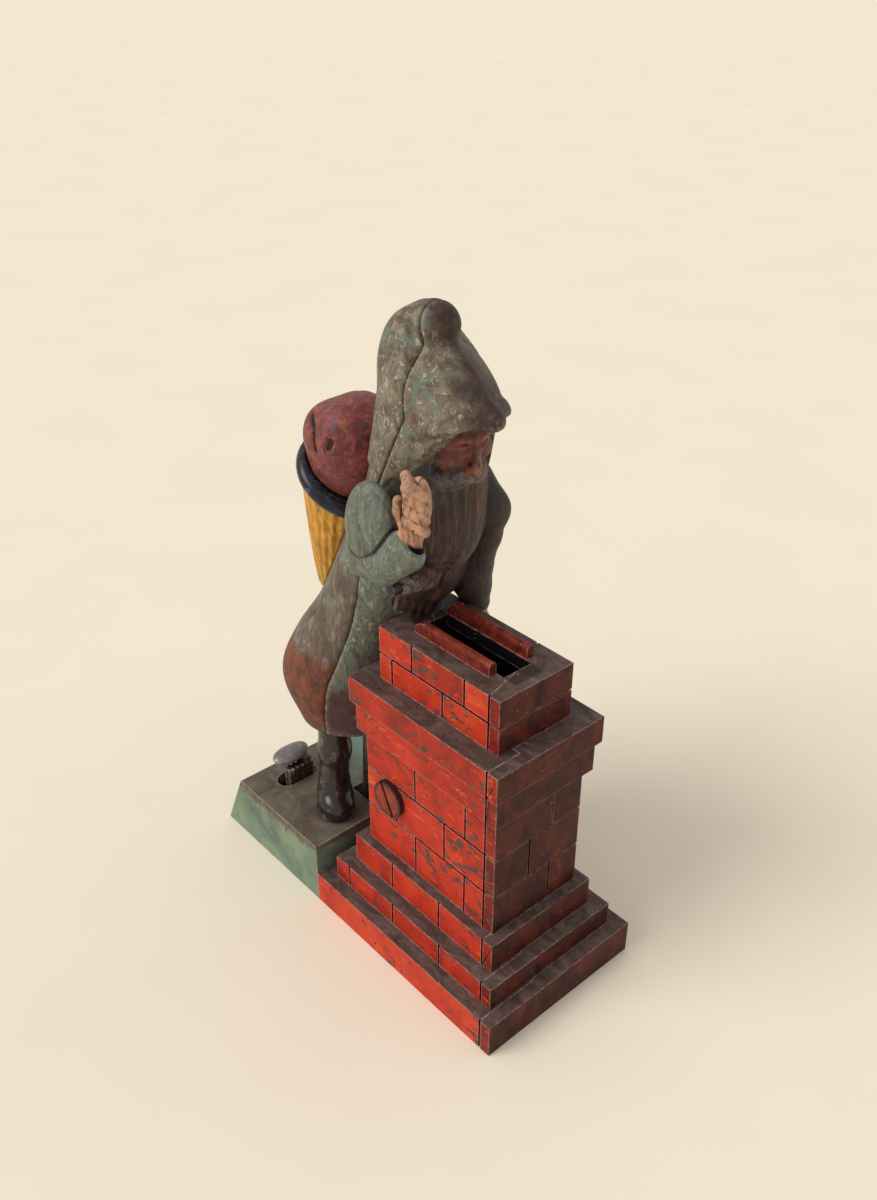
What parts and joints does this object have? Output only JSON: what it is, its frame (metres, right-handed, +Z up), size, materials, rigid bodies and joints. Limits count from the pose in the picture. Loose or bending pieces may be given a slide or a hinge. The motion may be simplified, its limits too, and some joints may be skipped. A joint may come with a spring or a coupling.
{
  "type": "mechanical bank",
  "caption": "Cast-iron mechanical coin bank: a hooded bearded figure with a pack leans over a brick chimney; pressing a thumb lever swings the arm down over the coin slot.",
  "frame": {"origin": "centre of the footprint, on the ground", "axes": "+X along the base towards the chimney end, which the figure faces; +Y to the figure's left; +Z up"},
  "size_m": [0.101, 0.0446, 0.149],
  "materials": {
    "brick_paint": "aged oil paint, red-orange bricks with dark mortar lines, chipped to brown",
    "brick_paint_dark": "aged oil paint, dark maroon-brown",
    "sage_paint": "aged sage green paint worn to olive brown",
    "coat_paint": "aged grey-green paint streaked with turquoise and brown",
    "coat_brown_paint": "grey-green paint worn to rust brown",
    "boot_paint": "glossy black paint with gold-brown wear",
    "basket_paint": "yellow ochre paint with an orange edge and a blue-black rim",
    "toy_paint": "mottled reddish pink paint",
    "lever_iron": "worn grey iron",
    "bare_iron": "unpainted dark cast iron",
    "steel": "plain darkened steel"
  },
  "bodies": {
    "root": {"chimney_right_wall": "brick_paint", "chimney_left_wall": "brick_paint_dark", "chimney_screw": "steel", "base_block": "sage_paint", "base_plate": "bare_iron", "base_screws": "steel", "trap_screw": "steel", "lever_pin": "steel", "lever_spring": "steel", "arm_stop": "bare_iron", "figure_front": "coat_paint", "figure_back": "coat_brown_paint", "figure_screw": "steel", "boots": "boot_paint", "boot_screws": "steel", "leg_screws": "steel", "pack_basket": "basket_paint", "pack_toys": "toy_paint", "pack_screw": "steel"},
    "lever": {"thumb_lever": "lever_iron", "link_pin": "steel"},
    "link": {"link_rod": "steel"},
    "arm": {"right_arm": "coat_paint", "arm_axle": "steel", "axle_collar": "steel", "arm_crank": "bare_iron", "crank_pin": "steel"},
    "trap": {"coin_trap": "bare_iron"}
  },
  "joints": [
    {"name": "lever_press", "type": "hinge", "parent": "root", "child": "lever", "pos_m": [-0.034, 0, 0.0095], "axis": [0, -1, 0], "range_deg": [0, 15.25], "stiffness_Nm_per_rad": 0.06, "springref_deg": -20.05, "deforming": ["lever_spring"]},
    {"name": "link_pivot", "type": "hinge", "parent": "lever", "child": "link", "pos_m": [-0.019, 0, 0.007], "axis": [0, -1, 0], "range_deg": [-15.2, 0.2]},
    {"name": "arm_swing", "type": "hinge", "parent": "root", "child": "arm", "pos_m": [0.008, 0, 0.109], "axis": [0, 1, 0], "range_deg": [-0.5, 50.5]},
    {"name": "trap_swing", "type": "hinge", "parent": "root", "child": "trap", "pos_m": [0.028, -0.013, 0.00135], "axis": [0, 0, -1], "range_deg": [0, 70]}
  ],
  "couplings": [
    {"joint": "link_pivot", "follows": "lever_press", "ratio": -0.98},
    {"joint": "arm_swing", "follows": "lever_press", "ratio": 3.2787}
  ]
}
